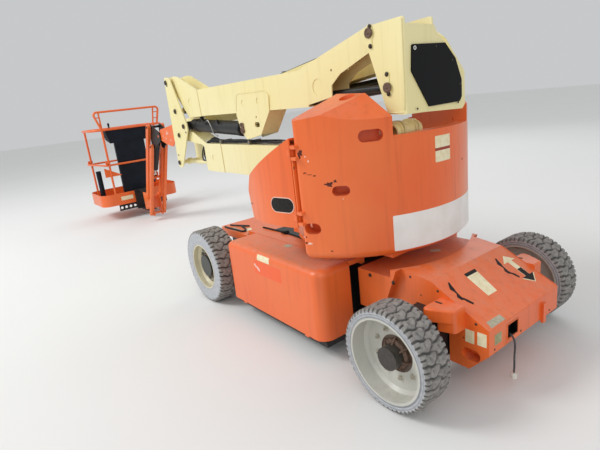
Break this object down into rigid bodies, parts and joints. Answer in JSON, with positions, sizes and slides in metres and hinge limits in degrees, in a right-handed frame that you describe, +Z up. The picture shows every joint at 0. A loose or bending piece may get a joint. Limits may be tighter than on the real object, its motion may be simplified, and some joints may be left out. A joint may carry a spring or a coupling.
{
  "type": "articulating boom lift",
  "caption": "Battery-electric articulating boom lift, stowed: counterweighted turntable, stacked parallelogram tower booms, telescoping main boom, jib and railed platform.",
  "frame": {"origin": "middle of the overall box, on the ground", "axes": "+X towards the steered axle and counterweight, +Y to the machine's left, +Z up"},
  "size_m": [7.1498, 1.5, 1.9152],
  "materials": {
    "black_frame": "satin black paint",
    "orange_paint": "worn gloss orange paint",
    "cream_paint": "worn cream paint",
    "tyre_rubber": "worn solid rubber",
    "chrome_rod": "hard chrome",
    "dark_plastic": "moulded",
    "white_plastic": "moulded"
  },
  "bodies": {
    "chassis": {"chassis_frame": "black_frame", "chassis_cowl": "orange_paint", "rear_deck": "orange_paint", "charger_inlet": "black_frame", "charger_lead": "dark_plastic", "charger_plug": "white_plastic", "battery_packs": "dark_plastic"},
    "turntable": {"turntable_frame": "orange_paint", "counterweight": "orange_paint", "power_unit": "black_frame"},
    "rear_wheel_right": {"rear_tyre_right": "tyre_rubber", "rear_rim_right": "cream_paint"},
    "steer_knuckle_right": {"steer_knuckle_right": "black_frame"},
    "front_wheel_right": {"front_tyre_right": "tyre_rubber", "front_rim_right": "cream_paint"},
    "side_hood_right": {"side_hood_right": "orange_paint"},
    "battery_cover_right": {"battery_cover_right": "orange_paint"},
    "rear_wheel_left": {"rear_tyre_left": "tyre_rubber", "rear_rim_left": "cream_paint"},
    "steer_knuckle_left": {"steer_knuckle_left": "black_frame"},
    "front_wheel_left": {"front_tyre_left": "tyre_rubber", "front_rim_left": "cream_paint"},
    "side_hood_left": {"side_hood_left": "orange_paint"},
    "battery_cover_left": {"battery_cover_left": "orange_paint"},
    "lower_boom": {"lower_boom": "cream_paint"},
    "lower_levelling_rod": {"lower_levelling_rod": "cream_paint"},
    "tower_link": {"tower_link": "cream_paint"},
    "mid_boom": {"mid_boom": "cream_paint"},
    "mid_levelling_rod": {"mid_levelling_rod": "cream_paint"},
    "tower_cylinder_barrel": {"tower_cylinder_barrel": "black_frame"},
    "tower_cylinder_rod": {"tower_cylinder_rod": "chrome_rod"},
    "main_boom": {"main_boom": "cream_paint"},
    "fly_boom": {"fly_boom": "cream_paint"},
    "main_cylinder_barrel": {"main_cylinder_barrel": "black_frame"},
    "main_cylinder_rod": {"main_cylinder_rod": "chrome_rod"},
    "jib_bracket": {"jib_bracket": "black_frame"},
    "jib_arm": {"jib_arm": "orange_paint"},
    "jib_levelling_rods": {"jib_levelling_rods": "orange_paint"},
    "jib_cylinder_barrel": {"jib_cylinder_barrel": "black_frame"},
    "jib_cylinder_rod": {"jib_cylinder_rod": "chrome_rod"},
    "jib_foot": {"jib_foot": "orange_paint"},
    "entry_bar": {"entry_bar": "orange_paint"},
    "upright": {"upright": "cream_paint", "upright_cover": "black_frame"},
    "platform": {"platform_support": "black_frame", "platform_pan": "orange_paint", "platform_rails": "orange_paint", "platform_console": "dark_plastic"}
  },
  "joints": [
    {"name": "rear_wheel_spin_right", "type": "hinge", "parent": "chassis", "child": "rear_wheel_right", "pos_m": [1.22836, -0.65, 0.306], "axis": [0, 1, 0], "continuous": true},
    {"name": "steer_right", "type": "hinge", "parent": "chassis", "child": "steer_knuckle_right", "pos_m": [3.22837, -0.52, 0.275], "axis": [0, 0, 1], "range_deg": [-35, 35]},
    {"name": "front_wheel_spin_right", "type": "hinge", "parent": "steer_knuckle_right", "child": "front_wheel_right", "pos_m": [3.22837, -0.66, 0.275], "axis": [0, 1, 0], "continuous": true},
    {"name": "rear_wheel_spin_left", "type": "hinge", "parent": "chassis", "child": "rear_wheel_left", "pos_m": [1.22836, 0.65, 0.306], "axis": [0, 1, 0], "continuous": true},
    {"name": "steer_left", "type": "hinge", "parent": "chassis", "child": "steer_knuckle_left", "pos_m": [3.22837, 0.52, 0.275], "axis": [0, 0, 1], "range_deg": [-35, 35]},
    {"name": "front_wheel_spin_left", "type": "hinge", "parent": "steer_knuckle_left", "child": "front_wheel_left", "pos_m": [3.22837, 0.66, 0.275], "axis": [0, 1, 0], "continuous": true},
    {"name": "turntable_swing", "type": "hinge", "parent": "chassis", "child": "turntable", "pos_m": [2.32836, 0, 0.63], "axis": [0, 0, 1], "range_deg": [-177, 177]},
    {"name": "hood_open_right", "type": "hinge", "parent": "turntable", "child": "side_hood_right", "pos_m": [2.58437, -0.70903, 0.85], "axis": [0, 0, 1], "range_deg": [0, 100]},
    {"name": "battery_cover_open_right", "type": "hinge", "parent": "chassis", "child": "battery_cover_right", "pos_m": [2.15986, -0.692, 0.131], "axis": [1, 0, 0], "range_deg": [0, 80]},
    {"name": "hood_open_left", "type": "hinge", "parent": "turntable", "child": "side_hood_left", "pos_m": [2.58437, 0.70903, 0.85], "axis": [0, 0, -1], "range_deg": [0, 100]},
    {"name": "battery_cover_open_left", "type": "hinge", "parent": "chassis", "child": "battery_cover_left", "pos_m": [2.15986, 0.692, 0.131], "axis": [-1, 0, 0], "range_deg": [0, 80]},
    {"name": "lower_boom_lift", "type": "hinge", "parent": "turntable", "child": "lower_boom", "pos_m": [2.92436, -0.15, 1.333], "axis": [0, 1, 0], "range_deg": [0, 47]},
    {"name": "lower_rod_turn", "type": "hinge", "parent": "turntable", "child": "lower_levelling_rod", "pos_m": [2.81236, -0.15, 1.044], "axis": [0, 1, 0], "range_deg": [0, 47]},
    {"name": "tower_link_turn", "type": "hinge", "parent": "lower_boom", "child": "tower_link", "pos_m": [0.05636, -0.15, 1.333], "axis": [0, 1, 0], "range_deg": [-47, 0]},
    {"name": "mid_boom_turn", "type": "hinge", "parent": "tower_link", "child": "mid_boom", "pos_m": [-0.05164, -0.15, 1.862], "axis": [0, 1, 0], "range_deg": [-47, 0]},
    {"name": "mid_rod_turn", "type": "hinge", "parent": "tower_link", "child": "mid_levelling_rod", "pos_m": [0.06037, -0.15, 1.573], "axis": [0, 1, 0], "range_deg": [-47, 0]},
    {"name": "upright_turn", "type": "hinge", "parent": "mid_boom", "child": "upright", "pos_m": [2.81636, -0.15, 1.862], "axis": [0, 1, 0], "range_deg": [0, 47]},
    {"name": "tower_cylinder_turn", "type": "hinge", "parent": "tower_link", "child": "tower_cylinder_barrel", "pos_m": [0.20236, -0.15, 1.419], "axis": [0, 1, 0], "range_deg": [-49.53, 0]},
    {"name": "tower_cylinder_stroke", "type": "slide", "parent": "tower_cylinder_barrel", "child": "tower_cylinder_rod", "axis": [0.9988, 0, -0.0499], "range_m": [0, 0.40383]},
    {"name": "main_boom_lift", "type": "hinge", "parent": "upright", "child": "main_boom", "pos_m": [2.82836, 0.11, 1.815], "axis": [0, 1, 0], "range_deg": [0, 79]},
    {"name": "main_cylinder_turn", "type": "hinge", "parent": "upright", "child": "main_cylinder_barrel", "pos_m": [2.88336, 0.11, 1.608], "axis": [0, 1, 0], "range_deg": [0, 68.19]},
    {"name": "main_cylinder_stroke", "type": "slide", "parent": "main_cylinder_barrel", "child": "main_cylinder_rod", "axis": [-0.9983, 0, -0.0587], "range_m": [0, 0.19177]},
    {"name": "fly_extend", "type": "slide", "parent": "main_boom", "child": "fly_boom", "axis": [-0.9921, 0, -0.1253], "range_m": [0, 0.9]},
    {"name": "jib_bracket_level", "type": "hinge", "parent": "fly_boom", "child": "jib_bracket", "pos_m": [-1.38614, 0.11, 1.28258], "axis": [0, 1, 0], "range_deg": [-79, 0]},
    {"name": "jib_lift", "type": "hinge", "parent": "jib_bracket", "child": "jib_arm", "pos_m": [-1.62114, 0.11, 1.40458], "axis": [0, 1, 0], "range_deg": [0, 135]},
    {"name": "jib_rods_turn", "type": "hinge", "parent": "jib_bracket", "child": "jib_levelling_rods", "pos_m": [-1.62614, 0.11, 1.14258], "axis": [0, 1, 0], "range_deg": [0, 135]},
    {"name": "jib_foot_level", "type": "hinge", "parent": "jib_arm", "child": "jib_foot", "pos_m": [-2.18837, 0.11, 0.38128], "axis": [0, 1, 0], "range_deg": [-135, 0]},
    {"name": "jib_cylinder_turn", "type": "hinge", "parent": "jib_bracket", "child": "jib_cylinder_barrel", "pos_m": [-1.64714, 0.11, 1.19658], "axis": [0, 1, 0], "range_deg": [0, 132.29]},
    {"name": "jib_cylinder_stroke", "type": "slide", "parent": "jib_cylinder_barrel", "child": "jib_cylinder_rod", "axis": [-0.598, 0, -0.8015], "range_m": [0, 0.38593]},
    {"name": "platform_rotate", "type": "hinge", "parent": "jib_foot", "child": "platform", "pos_m": [-2.48836, 0.11, 0.14928], "axis": [0, 0, 1], "range_deg": [-90, 90]},
    {"name": "entry_bar_lift", "type": "slide", "parent": "platform", "child": "entry_bar", "axis": [0, 0, 1], "range_m": [0, 0.42]}
  ],
  "couplings": [
    {"joint": "steer_left", "follows": "steer_right", "ratio": 1},
    {"joint": "lower_rod_turn", "follows": "lower_boom_lift", "ratio": 1},
    {"joint": "tower_link_turn", "follows": "lower_boom_lift", "ratio": -1},
    {"joint": "mid_boom_turn", "follows": "lower_boom_lift", "ratio": -1},
    {"joint": "mid_rod_turn", "follows": "lower_boom_lift", "ratio": -1},
    {"joint": "upright_turn", "follows": "lower_boom_lift", "ratio": 1},
    {"joint": "tower_cylinder_turn", "follows": "lower_boom_lift", "ratio": -1.0527},
    {"joint": "tower_cylinder_stroke", "follows": "lower_boom_lift", "m_per_rad": 0.49179},
    {"joint": "main_cylinder_turn", "follows": "main_boom_lift", "ratio": 0.8623},
    {"joint": "main_cylinder_stroke", "follows": "main_boom_lift", "m_per_rad": 0.13895},
    {"joint": "jib_bracket_level", "follows": "main_boom_lift", "ratio": -1},
    {"joint": "jib_rods_turn", "follows": "jib_lift", "ratio": 1},
    {"joint": "jib_foot_level", "follows": "jib_lift", "ratio": -1},
    {"joint": "jib_cylinder_turn", "follows": "jib_lift", "ratio": 0.97895},
    {"joint": "jib_cylinder_stroke", "follows": "jib_lift", "m_per_rad": 0.16363}
  ]
}
